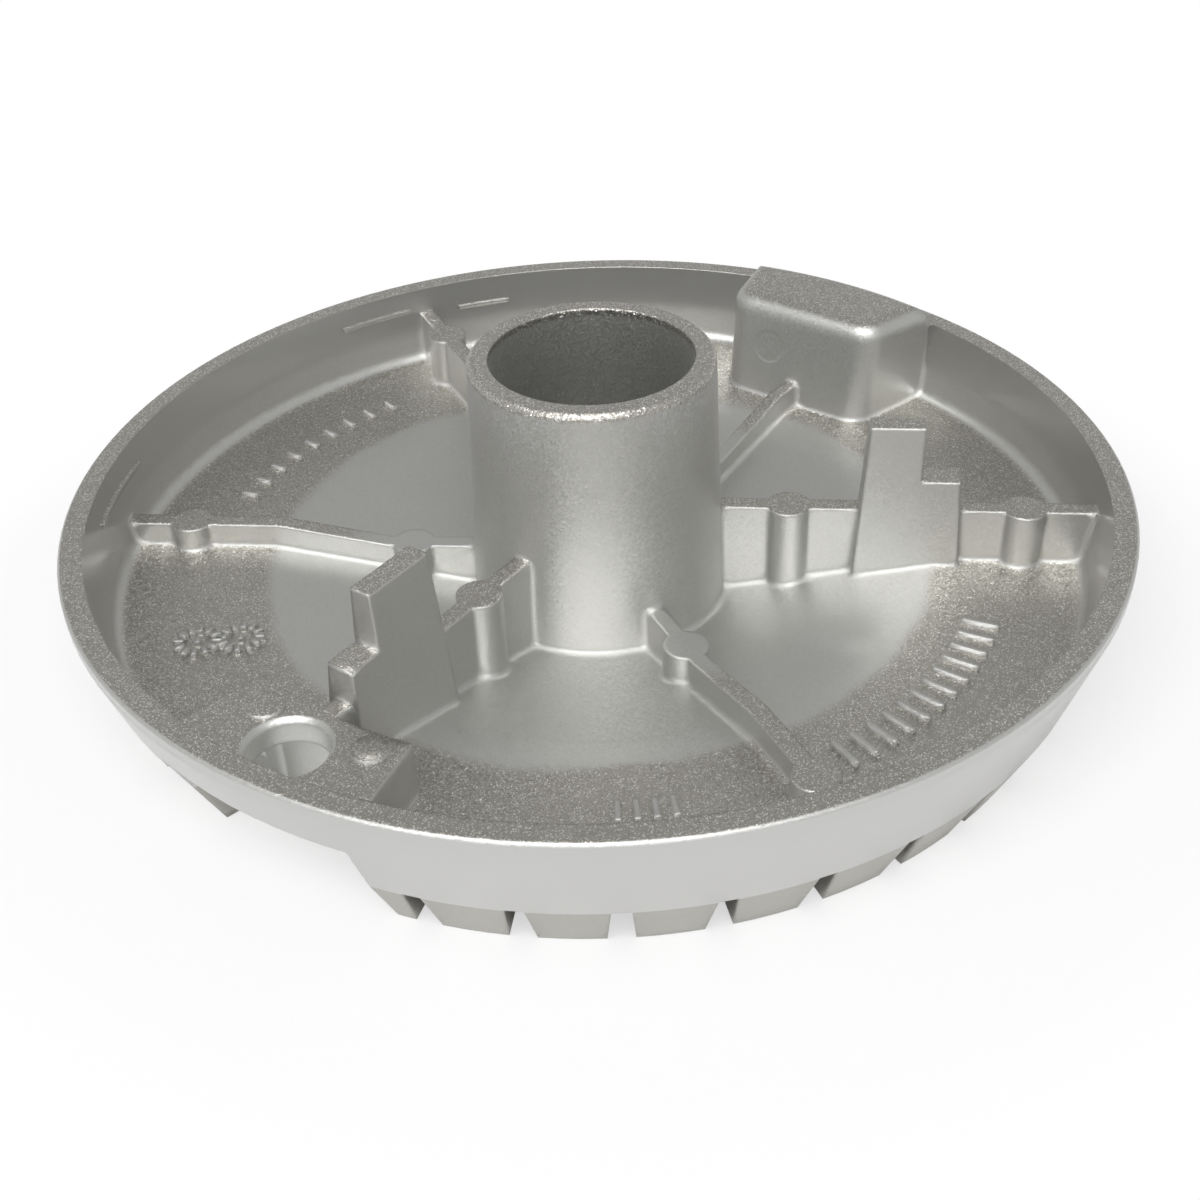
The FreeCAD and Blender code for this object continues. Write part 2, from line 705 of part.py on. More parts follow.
doc.recompute()
for thing in doc.Objects:
    for word in thing.State:
        if word in ("Invalid", "Error"):
            raise ValueError("%s is %s" % (thing.Name, word))
shape = body.Shape
if shape.isNull() or not shape.isValid() or len(shape.Solids) != 1:
    raise ValueError("the casting is not one valid solid")

body.Placement = Placement(Vector(0, 0, 0), Rotation())
os.makedirs("parts", exist_ok=True)
body.Shape.exportStep("parts/burner_head.step")
print("burner_head", round(shape.Volume, 1), shape.BoundBox)
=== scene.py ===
"""Gas burner head: the finish of the casting, its cast marks and the studio round it."""

import math
from types import SimpleNamespace

import bmesh
import bpy
from mathutils import Matrix, Vector


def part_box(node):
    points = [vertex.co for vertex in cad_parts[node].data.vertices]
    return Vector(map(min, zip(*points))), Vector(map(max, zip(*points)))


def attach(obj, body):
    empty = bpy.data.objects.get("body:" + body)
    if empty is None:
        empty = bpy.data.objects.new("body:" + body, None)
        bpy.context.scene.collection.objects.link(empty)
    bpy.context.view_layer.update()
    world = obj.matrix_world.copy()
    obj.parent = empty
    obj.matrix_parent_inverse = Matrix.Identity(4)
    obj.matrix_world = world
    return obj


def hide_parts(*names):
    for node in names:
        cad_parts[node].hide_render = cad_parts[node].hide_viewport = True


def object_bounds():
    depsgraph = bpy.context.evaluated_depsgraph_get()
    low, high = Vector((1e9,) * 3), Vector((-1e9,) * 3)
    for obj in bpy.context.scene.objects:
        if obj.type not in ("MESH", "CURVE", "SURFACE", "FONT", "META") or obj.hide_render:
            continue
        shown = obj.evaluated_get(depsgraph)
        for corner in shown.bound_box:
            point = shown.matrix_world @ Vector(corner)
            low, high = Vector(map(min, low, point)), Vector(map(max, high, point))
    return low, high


bl_info = {
    "name": "Gas burner head",
    "version": (1, 0, 0),
    "blender": (4, 5, 0),
    "location": "3D View > Sidebar > Burner",
    "description": "Dresses the cast burner head and sets up its studio",
    "category": "Object",
}

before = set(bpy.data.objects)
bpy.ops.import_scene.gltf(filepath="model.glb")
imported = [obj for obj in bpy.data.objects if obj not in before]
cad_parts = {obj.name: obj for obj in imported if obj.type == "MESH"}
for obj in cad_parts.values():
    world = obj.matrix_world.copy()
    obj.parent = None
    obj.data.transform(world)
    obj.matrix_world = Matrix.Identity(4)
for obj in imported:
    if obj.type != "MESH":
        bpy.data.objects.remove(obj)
CAD_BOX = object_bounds()
NODE = "burner_head"
CASTING = "casting"
MM = 0.001

# Sizes of the casting that the finish follows, in metres. Its box comes from the frame.
# Azimuths are in degrees, counted from the front towards the right.
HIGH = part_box(NODE)[1]
RIM_RADIUS = HIGH.x
RIM_LEVEL = 15.4 * MM
RIM_INNER_RADIUS = 47.8 * MM
FLOOR_LEVEL = 7.1 * MM
CREASE_RADIUS = 32.3 * MM
BAND_LOW_LEVEL = 5.4 * MM
TALL_RIB_LEVEL = RIM_LEVEL - 2.7 * MM
BLOCK_SIDE_AZIMUTH = -23.7
BOX_AZIMUTH = 141.5
BOX_HALF_ANGLE = 17.0
BOX_BACK_RADIUS = 46.0 * MM
BOX_FOOT_LEVEL = FLOOR_LEVEL + 0.2 * MM

# Where one skin passes into the next: start and end of the passage, as a radius or a height.
BAND_EDGE = (RIM_INNER_RADIUS - 0.9 * MM, RIM_INNER_RADIUS - 0.6 * MM)
BAND_LOW_EDGE = (BAND_LOW_LEVEL, BAND_LOW_LEVEL + 0.04 * MM)
CROWN_EDGE = (42.0 * MM, 43.0 * MM)
CREASE_EDGE = (CREASE_RADIUS - 0.6 * MM, CREASE_RADIUS + 1.0 * MM)
CREASE_STRAY = 5.0 * MM
MARK_EDGE = (FLOOR_LEVEL + 0.1 * MM, FLOOR_LEVEL + 0.3 * MM)
ABOVE_FLOOR_EDGE = (FLOOR_LEVEL + 0.5 * MM, FLOOR_LEVEL + 1.5 * MM)
TUBE_MOUTH_EDGE = (HIGH.z - 0.9 * MM, HIGH.z - 0.5 * MM)
TUBE_SIDE_EDGE = (12.6 * MM, 13.0 * MM)
BOX_FRONT_EDGE = (35.0 * MM, 36.0 * MM)
BOX_TOP_EDGE = (RIM_LEVEL + 0.1 * MM, RIM_LEVEL + 0.6 * MM)
BLOCK_CORNER_EDGE = (5.0 * MM, 6.0 * MM)
# The rounded corner of the electrode block: radius and height.
BLOCK_CORNER = (42.0 * MM, 11.0 * MM)

# The same for the upward part of a face's normal, where it stops leaning outwards and where it
# becomes level, for the open sky over a corner, and for the grains that glint.
UPRIGHT_EDGE = (0.2, 0.5)
LEVEL_EDGE = (0.75, 0.97)
OPEN_SKY_EDGE = (0.62, 0.92)
GLINT_EDGE = (0.84, 0.88)

# How far plain grains and glints lean, how much finer the second layer of grains is, what
# each layer adds, how much rougher the tube is, and how far the marks are worn.
GRAIN_LEAN, GLINT_LEAN = 0.85, 1.5
FINER = 1.9
GRAIN_SHARES = (0.6, 0.4)
TUBE_SHARE = 2.0
WORN_SHARE = 0.8
# Brightness of the skin: plain part, and what the grains and the clouds add to it; how far the
# fine and the coarse skin show it, and how far the crown has its own colour.
SHADE_BASE, SHADE_GRAIN, SHADE_CLOUD = 0.72, 0.36, 0.20
SHADE_FINE, SHADE_COARSE = 0.25, 0.9
CROWN_SHARE = 0.9
# Relief that is only shaded.
RELIEF_STRENGTH = 0.3
RELIEF_DEPTH = 0.06 * MM
LATHE_SHARE = 0.12
DENT_SLOPE = 0.4 * MM

# The noises of the skin, in waves per metre: clouds of tone, swells and the lathe's marks.
CLOUD = {"Scale": 70.0, "Detail": 4.0}
SWELL = {"Scale": 380.0, "Detail": 3.0}
LATHE = {"Scale": 6000.0, "Detail": 2.0}

# How many rays look for open sky, for a soft corner and for a crisp one.
SKY_RAYS = 6
SOFT_RAYS = 8
CRISP_RAYS = 4

# Rows of plain bars on the floor: radius, first and last azimuth, count, length of a bar.
TICK_ROWS = (
    (37.6 * MM, 31.5, 66.5, 12, 3.4 * MM),
    (38.0 * MM, 1.0, 8.0, 4, 2.4 * MM),
    (38.2 * MM, -109.0, -143.0, 9, 1.8 * MM),
)
# Raised lines on the wall of the dish, each a chain of short bars: first and last azimuth,
# height and number of bars.
WALL_LINES = (
    (-89.0, -101.0, 13.0 * MM, 6),
    (-144.5, -152.5, 13.2 * MM, 4),
    (-162.0, -167.0, 12.4 * MM, 3),
)
WALL_BAR = {"Length": 0.8 * MM, "Height": 0.25 * MM}
WALL_BAR_INSET = 0.35 * MM
WALL_BAR_OVERLAP = 0.97
# Round ejector marks on the electrode block.
BLOCK_DISCS = ((-18.6 * MM, -35.6 * MM), (-27.8 * MM, -29.6 * MM))
DISC_SIDES = 40
# Shallow round dents of ejector pins on the box: place, radius and depth of the shading.
PIN_DENTS = (((25.6 * MM, 29.9 * MM, 17.9 * MM), 1.5 * MM, 7.0),
             ((19.6 * MM, 30.2 * MM, 13.0 * MM), 1.6 * MM, 3.0))
# Two round date dials that touch: radius and azimuth of their centres.
DIALS = ((39.4 * MM, -70.6), (35.6 * MM, -69.0))
# What a dial is made of: radius of the ring and number of ticks.
DIAL_RINGS = ((1.75 * MM, 12), (0.0, 1))
DIAL_TICK = 0.9 * MM
DIAL_TICK_SHARE = 0.8


def polar(radius, azimuth, height):
    """A point at a distance from the axis, an azimuth and a height."""
    turn = math.radians(azimuth)
    return Vector((radius * math.sin(turn), -radius * math.cos(turn), height))


class CastingSettings(bpy.types.PropertyGroup):
    """Finish of the casting."""

    metal: bpy.props.FloatVectorProperty(
        name="Metal", description="Colour of the turned skirt", subtype="COLOR",
        size=3, min=0.0, max=1.0, default=(0.585, 0.583, 0.573))
    smooth_skin: bpy.props.FloatVectorProperty(
        name="Smooth skin", description="Colour of the smoother cast faces", subtype="COLOR",
        size=3, min=0.0, max=1.0, default=(0.60, 0.60, 0.58))
    raw_metal: bpy.props.FloatVectorProperty(
        name="Raw skin", description="Colour of the coarse cast skin", subtype="COLOR",
        size=3, min=0.0, max=1.0, default=(0.46, 0.443, 0.405))
    crown: bpy.props.FloatVectorProperty(
        name="Crown", description="Colour of the crown below the skirt", subtype="COLOR",
        size=3, min=0.0, max=1.0, default=(0.46, 0.45, 0.42))
    # Painted glints: the brightest grains of the coarse skin get this near-white colour, which
    # stands in for their glint of light.
    painted_glint_metal: bpy.props.FloatVectorProperty(
        name="Glints", description="Colour of the brightest grains", subtype="COLOR",
        size=3, min=0.0, max=1.0, default=(0.90, 0.89, 0.87))
    band_roughness: bpy.props.FloatProperty(
        name="Skirt roughness", description="Roughness of the turned skirt",
        default=0.30, min=0.0, max=1.0)
    fine_roughness: bpy.props.FloatProperty(
        name="Fine roughness", description="Roughness of the smoother cast faces",
        default=0.48, min=0.0, max=1.0)
    coarse_roughness: bpy.props.FloatProperty(
        name="Coarse roughness", description="Roughness of the coarse grains",
        default=0.42, min=0.0, max=1.0)
    glint_roughness: bpy.props.FloatProperty(
        name="Glint roughness", description="Roughness of the brightest grains",
        default=0.34, min=0.0, max=1.0)
    fine_skin: bpy.props.FloatProperty(
        name="Fine skin", description="Lean of the grains on the smoother faces",
        default=0.16, min=0.0, max=2.0)
    coarse_skin: bpy.props.FloatProperty(
        name="Coarse skin", description="Lean of the grains on the rim and the outer floor",
        default=0.65, min=0.0, max=2.0)
    grain: bpy.props.FloatProperty(
        name="Grain", description="Size of the grains of the coarse skin",
        default=0.18 * MM, min=0.05 * MM, max=2 * MM, unit="LENGTH")
    outer_corner: bpy.props.FloatProperty(
        name="Outer corner", description="Rounding of the outer corners of the casting",
        default=0.5 * MM, min=0.0, max=2 * MM, unit="LENGTH")
    turned_corner: bpy.props.FloatProperty(
        name="Turned corner", description="Rounding of the corners of the turned skirt",
        default=0.12 * MM, min=0.0, max=2 * MM, unit="LENGTH")
    inner_corner: bpy.props.FloatProperty(
        name="Inner corner", description="Rounding of the inner corners of the casting",
        default=1.6 * MM, min=0.0, max=3 * MM, unit="LENGTH")
    box_corner: bpy.props.FloatProperty(
        name="Box corner", description="Rounding round the top of the box",
        default=2.2 * MM, min=0.0, max=4 * MM, unit="LENGTH")
    soft_angle: bpy.props.FloatProperty(
        name="Soft angle", description="Faces that meet at less than this angle shade as one",
        default=math.radians(28.0), min=0.0, max=math.pi, subtype="ANGLE")


class MarkSettings(bpy.types.PropertyGroup):
    """Plain raised marks that the die left on the casting."""

    height: bpy.props.FloatProperty(
        name="Height", description="How far a mark stands up",
        default=0.45 * MM, min=0.05 * MM, max=1 * MM, unit="LENGTH")
    width: bpy.props.FloatProperty(
        name="Width", description="Width of a mark",
        default=0.55 * MM, min=0.1 * MM, max=2 * MM, unit="LENGTH")
    ring: bpy.props.FloatProperty(
        name="Ring", description="Radius of the round ejector marks",
        default=1.6 * MM, min=0.5 * MM, max=5 * MM, unit="LENGTH")
    disc_rise: bpy.props.FloatProperty(
        name="Disc rise", description="How far the round marks stand up",
        default=0.24 * MM, min=0.02 * MM, max=1 * MM, unit="LENGTH")


class StageSettings(bpy.types.PropertyGroup):
    """Studio round the casting."""

    camera_place: bpy.props.FloatVectorProperty(
        name="Camera", description="Place of the camera", subtype="TRANSLATION", size=3,
        default=(0.0, -132.48 * MM, 95.77 * MM))
    camera_turn: bpy.props.FloatVectorProperty(
        name="Turn", description="Rotation of the camera", subtype="EULER", size=3,
        default=(math.radians(53.403), math.radians(1.647), math.radians(-1.521)))
    lens: bpy.props.FloatProperty(
        name="Lens", description="Focal length in millimetres on a 36 mm sensor",
        default=48.47, min=10.0, max=300.0)
    shift: bpy.props.FloatVectorProperty(
        name="Shift", description="Sideways and upward shift of the picture", size=2,
        default=(-0.0073, 0.0223))
    lamp_place: bpy.props.FloatVectorProperty(
        name="Lamp", description="Place of the lamp", subtype="TRANSLATION", size=3,
        default=(-0.10, -0.50, 0.70))
    lamp_size: bpy.props.FloatVectorProperty(
        name="Lamp size", description="Width and length of the lamp in metres", size=2,
        default=(0.8, 0.3))
    lamp_power: bpy.props.FloatProperty(
        name="Lamp power", description="Power of the lamp in watts",
        default=6.4, min=0.0, max=100.0)
    room_front: bpy.props.FloatProperty(
        name="Front of the room", description="Brightness of the room behind the camera",
        default=0.61, min=0.0, max=2.0)
    room_back: bpy.props.FloatProperty(
        name="Back of the room", description="Brightness of the room behind the object",
        default=0.60, min=0.0, max=2.0)
    dome: bpy.props.FloatProperty(
        name="Dome", description="Brightness of the ceiling",
        default=0.42, min=0.0, max=2.0)


def opaque(colour):
    """A colour with full alpha, as sockets take it."""
    return (*colour, 1.0)


def new_material(name):
    """An empty node material with its output and surface shader."""
    material = bpy.data.materials.new(name)
    material.use_nodes = True
    tree = material.node_tree
    tree.nodes.clear()
    output = tree.nodes.new("ShaderNodeOutputMaterial")
    shader = tree.nodes.new("ShaderNodeBsdfPrincipled")
    tree.links.new(shader.outputs["BSDF"], output.inputs["Surface"])
    return material, tree, shader


class Wiring:
    """Short forms for adding nodes to one tree."""

    def __init__(self, tree):
        self.tree = tree

    def node(self, kind, inputs=None, **settings):
        made = self.tree.nodes.new(kind)
        for key, value in settings.items():
            setattr(made, key, value)
        for key, value in (inputs or {}).items():
            self.put(made.inputs[key], value)
        return made

    def put(self, socket, value):
        if isinstance(value, bpy.types.NodeSocket):
            self.tree.links.new(value, socket)
        else:
            socket.default_value = value

    def math(self, operation, first, second=0.0, third=0.0):
        made = self.node("ShaderNodeMath", operation=operation)
        self.put(made.inputs[0], first)
        self.put(made.inputs[1], second)
        self.put(made.inputs[2], third)
        return made.outputs[0]

    def vector(self, operation, first, second=(0.0, 0.0, 0.0)):
        made = self.node("ShaderNodeVectorMath", operation=operation)
        self.put(made.inputs[0], first)
        self.put(made.inputs[1], second)
        return made.outputs[0]

    def scale(self, vector, factor):
        made = self.node("ShaderNodeVectorMath", operation="SCALE")
        self.put(made.inputs[0], vector)
        self.put(made.inputs["Scale"], factor)
        return made.outputs[0]

    def less(self, value):
        """1 less a value."""
        return self.math("SUBTRACT", 1.0, value)

    def both(self, first, second):
        """The product of two values."""
        return self.math("MULTIPLY", first, second)

    def distance(self, first, second):
        made = self.node("ShaderNodeVectorMath", {0: first, 1: second}, operation="DISTANCE")
        return made.outputs["Value"]

    def step(self, value, start, end):
        """0 below start, 1 above end and a smooth rise between."""
        made = self.node("ShaderNodeMapRange", interpolation_type="SMOOTHSTEP")
        self.put(made.inputs["Value"], value)
        self.put(made.inputs["From Min"], start)
        self.put(made.inputs["From Max"], end)
        return made.outputs["Result"]

    def mix(self, factor, first, second):
        made = self.node("ShaderNodeMix", data_type="FLOAT")
        self.put(made.inputs[0], factor)
        self.put(made.inputs[2], first)
        self.put(made.inputs[3], second)
        return made.outputs[0]

    def mix_colour(self, factor, first, second, blend="MIX"):
        made = self.node("ShaderNodeMix", data_type="RGBA", blend_type=blend)
        self.put(made.inputs[0], factor)
        self.put(made.inputs[6], first)
        self.put(made.inputs[7], second)
        return made.outputs[2]


def skin_masks(make, place):
    """Where each skin lies, as masks from 0 to 1, with the noise that some of them follow."""
    facing = make.node("ShaderNodeNewGeometry").outputs["Normal"]
    parts = make.node("ShaderNodeSeparateXYZ", {"Vector": place})
    height = parts.outputs["Z"]
    flat = make.node("ShaderNodeCombineXYZ", {"X": parts.outputs["X"], "Y": parts.outputs["Y"]})
    reach = make.node("ShaderNodeVectorMath", {0: flat.outputs[0]}, operation="LENGTH")
    reach = reach.outputs["Value"]
    up = make.node("ShaderNodeSeparateXYZ", {"Vector": facing}).outputs["Z"]
    cloud = make.node("ShaderNodeTexNoise", {"Vector": place, **CLOUD}).outputs["Fac"]

    # The turned skirt is smooth and bright, and the crown below it was left as cast.
    leaning_out = make.less(make.step(up, *UPRIGHT_EDGE))
    above_crown = make.step(height, *BAND_LOW_EDGE)
    band = make.both(make.both(make.step(reach, *BAND_EDGE), leaning_out), above_crown)
    crown = make.both(make.both(make.step(reach, *CROWN_EDGE), leaning_out),
                      make.less(above_crown))

    # The skin is coarse on the rim and the outer floor, and fine on the bowl and the walls.
    # The tops of the marks are worn smoother, and the tube's mouth is coarse.
    level = make.step(up, *LEVEL_EDGE)
    stray = make.math("MULTIPLY_ADD", cloud, CREASE_STRAY, -CREASE_STRAY / 2)
    outer = make.step(make.math("ADD", reach, stray), *CREASE_EDGE)
    above_floor = make.step(height, *ABOVE_FLOOR_EDGE)
    coarse = make.both(level, make.math("MAXIMUM", outer, above_floor))
    worn = make.math("SUBTRACT", make.step(height, *MARK_EDGE), above_floor)
    coarse = make.both(coarse, make.math("MULTIPLY_ADD", worn, -WORN_SHARE, 1.0))
    coarse = make.math("MAXIMUM", coarse, make.step(height, *TUBE_MOUTH_EDGE))

    # Places with a look of their own: the tube, the top of the box and the block's corner.
    on_tube = make.both(make.step(height, FLOOR_LEVEL, HIGH.z),
                        make.less(make.step(reach, *TUBE_SIDE_EDGE)))
    on_box = make.both(make.step(reach, *BOX_FRONT_EDGE), make.step(height, *BOX_TOP_EDGE))
    radius, rise = BLOCK_CORNER
    corner = make.distance(place, polar(radius, BLOCK_SIDE_AZIMUTH, rise))
    at_block = make.less(make.step(corner, *BLOCK_CORNER_EDGE))
    return SimpleNamespace(height=height, cloud=cloud, band=band, crown=crown, coarse=coarse,
                           on_tube=on_tube, on_box=on_box, at_block=at_block)


def skin_grains(make, place, size):
    """Two layers of grains that each lean their own way, and the few that glint."""
    grain = make.node("ShaderNodeTexVoronoi", {
        "Vector": place, "Scale": 1.0 / size, "Randomness": 1.0})
    fine = make.node("ShaderNodeTexVoronoi", {
        "Vector": place, "Scale": FINER / size, "Randomness": 1.0})
    middle = (0.5, 0.5, 0.5)
    tilt = make.vector("ADD", *(
        make.scale(make.vector("SUBTRACT", layer.outputs["Color"], middle), share)
        for layer, share in zip((grain, fine), GRAIN_SHARES)))
    pick = make.node("ShaderNodeSeparateXYZ", {"Vector": fine.outputs["Color"]})
    glint = make.step(pick.outputs["Y"], *GLINT_EDGE)
    return tilt, pick.outputs["X"], glint


def rounded_normal(make, masks, settings):
    """Normals that round the corners, inner ones more than outer ones."""
    open_sky = make.node("ShaderNodeAmbientOcclusion", {"Distance": settings.inner_corner},
                         samples=SKY_RAYS)
    inner = make.less(make.step(open_sky.outputs["AO"], *OPEN_SKY_EDGE))
    outer_round = make.mix(masks.at_block, settings.outer_corner, settings.inner_corner)
    outer_round = make.mix(masks.on_box, outer_round, settings.box_corner)
    edge = make.node("ShaderNodeBevel", {
        "Radius": make.mix(inner, outer_round, settings.inner_corner)}, samples=SOFT_RAYS)
    crisp = make.node("ShaderNodeBevel", {"Radius": settings.turned_corner}, samples=CRISP_RAYS)
    rounding = make.node("ShaderNodeMix", data_type="VECTOR")
    make.put(rounding.inputs[0], masks.band)
    make.put(rounding.inputs[4], edge.outputs["Normal"])
    make.put(rounding.inputs[5], crisp.outputs["Normal"])
    return rounding.outputs[1]


def skin_relief(make, place, masks):
    """Height of the lathe's marks on the skirt, of the swells of the cast skin and the dents."""
    lathe = make.node("ShaderNodeTexNoise", LATHE, noise_dimensions="1D")
    make.put(lathe.inputs["W"], masks.height)
    swell = make.node("ShaderNodeTexNoise", {"Vector": place, **SWELL})
    relief = make.mix(masks.band, swell.outputs["Fac"],
                      make.both(lathe.outputs["Fac"], LATHE_SHARE))
    for spot, size, depth in PIN_DENTS:
        dent = make.less(make.step(make.distance(place, spot), size, size + DENT_SLOPE))
        relief = make.math("SUBTRACT", relief, make.both(dent, depth))
    return relief


def skin_colour(make, masks, shade, glint, settings):
    """Warm grey skin with lighter and darker grains, painted glints on the brightest coarse
    grains, cleaner metal on the skirt.
    """
    shade = make.math("ADD", make.both(shade, SHADE_GRAIN), make.both(masks.cloud, SHADE_CLOUD))
    shade = make.math("ADD", shade, SHADE_BASE)
    grey = make.node("ShaderNodeCombineColor", {"Red": shade, "Green": shade, "Blue": shade})
    skin = make.mix_colour(masks.coarse, opaque(settings.smooth_skin),
                           opaque(settings.raw_metal))
    share = make.mix(masks.coarse, SHADE_FINE, SHADE_COARSE)
    skin = make.mix_colour(share, skin, grey.outputs[0], "MULTIPLY")
    # Painted glint: the brightest grains of the coarse skin are coloured near white.
    skin = make.mix_colour(make.both(glint, masks.coarse), skin, opaque(settings.painted_glint_metal))
    skin = make.mix_colour(make.both(masks.crown, CROWN_SHARE), skin, opaque(settings.crown))
    return make.mix_colour(masks.band, skin, opaque(settings.metal))


def casting_material(settings):
    """Cast aluminium: a sparkling rough skin with painted glints, smoother drawn faces and a
    turned skirt.
    """
    material, tree, shader = new_material("cast_aluminium")
    make = Wiring(tree)
    place = make.node("ShaderNodeTexCoord").outputs["Object"]
    masks = skin_masks(make, place)
    tilt, shade, glint = skin_grains(make, place, settings.grain)

    fine_skin = make.mix(masks.on_tube, settings.fine_skin, settings.fine_skin * TUBE_SHARE)
    lean = make.both(make.mix(masks.coarse, fine_skin, settings.coarse_skin),
                     make.less(masks.band))
    sparkle = make.scale(tilt, make.both(lean, make.mix(glint, GRAIN_LEAN, GLINT_LEAN)))
    leaning = make.vector("NORMALIZE", make.vector(
        "ADD", rounded_normal(make, masks, settings), sparkle))
    bump = make.node("ShaderNodeBump", {
        "Strength": RELIEF_STRENGTH, "Distance": RELIEF_DEPTH,
        "Height": skin_relief(make, place, masks), "Normal": leaning})
    make.put(shader.inputs["Normal"], bump.outputs["Normal"])

    make.put(shader.inputs["Base Color"], skin_colour(make, masks, shade, glint, settings))
    shader.inputs["Metallic"].default_value = 1.0
    grains = make.mix(glint, settings.coarse_roughness, settings.glint_roughness)
    cast = make.mix(masks.coarse, settings.fine_roughness, grains)
    make.put(shader.inputs["Roughness"], make.mix(masks.band, cast, settings.band_roughness))
    return material


# What the shading takes for level, for turned and for one flat patch, as sines and cosines,
# how near two corners of the mesh are welded, and the shortest edge that stays.
LEVEL_COSINE = 0.9999
TURNED_SINE = 0.03
PATCH_COSINE = 0.99999
WELD = 1e-6
SHORTEST_EDGE = 1e-7


def in_box_front(point):
    """The flat front of the raised box would pass for a turned face."""
    turn = math.degrees(math.atan2(point.x, -point.y))
    return (abs(turn - BOX_AZIMUTH) < BOX_HALF_ANGLE and point.xy.length < BOX_BACK_RADIUS
            and point.z > BOX_FOOT_LEVEL)


def normal_at(face, spot):
    """The normal that a face has at one of its corners, with a turned face as a true curve."""
    normal = face.normal.copy()
    middle = face.calc_center_median()
    reach = middle.xy.length
    if min(reach, spot.xy.length) < MM or abs(normal.z) > LEVEL_COSINE or in_box_front(middle):
        return normal
    outward = middle.xy / reach
    if abs(outward.x * normal.y - outward.y * normal.x) > TURNED_SINE:
        return normal
    there = spot.xy.normalized() * normal.xy.dot(outward)
    return Vector((there.x, there.y, normal.z)).normalized()


def flat_areas(work):
    """For each face, the area of the flat patch that it belongs to."""
    areas = [0.0] * len(work.faces)
    seen = set()
    for start in work.faces:
        if start in seen:
            continue
        patch = [start]
        seen.add(start)
        for face in patch:
            for edge in face.edges:
                for other in edge.link_faces:
                    if other not in seen and other.normal.dot(face.normal) > PATCH_COSINE:
                        seen.add(other)
                        patch.append(other)
        total = sum(face.calc_area() for face in patch)
        for face in patch:
            areas[face.index] = total
    return areas


def shade_truly(mesh, limit):
    """Shades turned surfaces by their real curve and keeps flat faces flat."""
    work = bmesh.new()
    work.from_mesh(mesh)
    bmesh.ops.remove_doubles(work, verts=work.verts, dist=WELD)
    bmesh.ops.dissolve_degenerate(work, edges=work.edges, dist=SHORTEST_EDGE)
    work.normal_update()
    work.faces.index_update()
    areas = flat_areas(work)
    closest = math.cos(limit)
    normals = []
    for face in work.faces:
        for vert in face.verts:
            own = normal_at(face, vert.co)
            total = Vector()
            for other in vert.link_faces:
                leaning = normal_at(other, vert.co)
                if leaning.dot(own) > closest:
                    total += leaning * areas[other.index]
            normals.append(total.normalized())
    work.to_mesh(mesh)
    work.free()
    mesh.shade_smooth()
    mesh.normals_split_custom_set(normals)


class BURNER_OT_casting(bpy.types.Operator):
    """Build the smooth casting with its finish"""

    bl_idname = "burner.casting"
    bl_label = "Casting"

    def execute(self, context):
        settings = context.scene.burner_casting
        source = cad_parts[NODE]
        mesh = source.data.copy()
        mesh.name = CASTING
        shade_truly(mesh, settings.soft_angle)
        casting = bpy.data.objects.new(CASTING, mesh)
        context.scene.collection.objects.link(casting)
        mesh.materials.clear()
        mesh.materials.append(casting_material(settings))
        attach(casting, "root")
        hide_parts(NODE)
        return {"FINISHED"}


def input_socket(tree, name, kind, default):
    """A named input of a node group."""
    socket = tree.interface.new_socket(name=name, in_out="INPUT", socket_type=kind)
    socket.default_value = default
    return socket


def tick_tree(material):
    """A row of raised bars on an arc: how many, where, how far apart and how big."""
    tree = bpy.data.node_groups.new("tick_row", "GeometryNodeTree")
    input_socket(tree, "Count", "NodeSocketInt", 3)
    for name in ("Radius", "Start", "Step", "Length", "Width", "Height"):
        input_socket(tree, name, "NodeSocketFloat", 0.0)
    input_socket(tree, "Centre", "NodeSocketVector", (0.0, 0.0, 0.0))
    tree.interface.new_socket(name="Geometry", in_out="OUTPUT", socket_type="NodeSocketGeometry")
    make = Wiring(tree)
    given = make.node("NodeGroupInput").outputs
    line = make.node("GeometryNodeMeshLine", {"Count": given["Count"]})
    index = make.node("GeometryNodeInputIndex").outputs[0]
    turn = make.math("ADD", given["Start"], make.both(index, given["Step"]))
    across = make.both(make.math("SINE", turn), given["Radius"])
    along = make.both(make.both(make.math("COSINE", turn), given["Radius"]), -1.0)
    spot = make.node("ShaderNodeCombineXYZ", {"X": across, "Y": along})
    placed = make.node("GeometryNodeSetPosition", {
        "Geometry": line.outputs["Mesh"],
        "Position": make.vector("ADD", spot.outputs[0], given["Centre"])})
    size = make.node("ShaderNodeCombineXYZ", {
        "X": given["Width"], "Y": given["Length"], "Z": make.both(given["Height"], 2.0)})
    bar = make.node("GeometryNodeMeshCube", {"Size": size.outputs[0]})
    facing = make.node("ShaderNodeCombineXYZ", {"Z": turn})
    copies = make.node("GeometryNodeInstanceOnPoints", {
        "Points": placed.outputs[0], "Instance": bar.outputs["Mesh"],
        "Rotation": facing.outputs[0]})
    whole = make.node("GeometryNodeRealizeInstances", {"Geometry": copies.outputs[0]})
    dressed = make.node("GeometryNodeSetMaterial", {
        "Geometry": whole.outputs[0], "Material": material})
    result = make.node("NodeGroupOutput")
    tree.links.new(dressed.outputs[0], result.inputs[0])
    return tree


def grown(name, tree, values):
    """Runs a node group on an empty mesh and keeps the result as a plain mesh."""
    mesh = bpy.data.meshes.new(name + "_start")
    holder = bpy.data.objects.new(name + "_start", mesh)
    bpy.context.scene.collection.objects.link(holder)
    modifier = holder.modifiers.new(name, "NODES")
    modifier.node_group = tree
    for item in tree.interface.items_tree:
        if item.item_type == "SOCKET" and item.in_out == "INPUT" and item.name in values:
            modifier[item.identifier] = values[item.name]
    evaluated = holder.evaluated_get(bpy.context.evaluated_depsgraph_get())
    result = bpy.data.meshes.new_from_object(evaluated)
    bpy.data.objects.remove(holder)
    return result


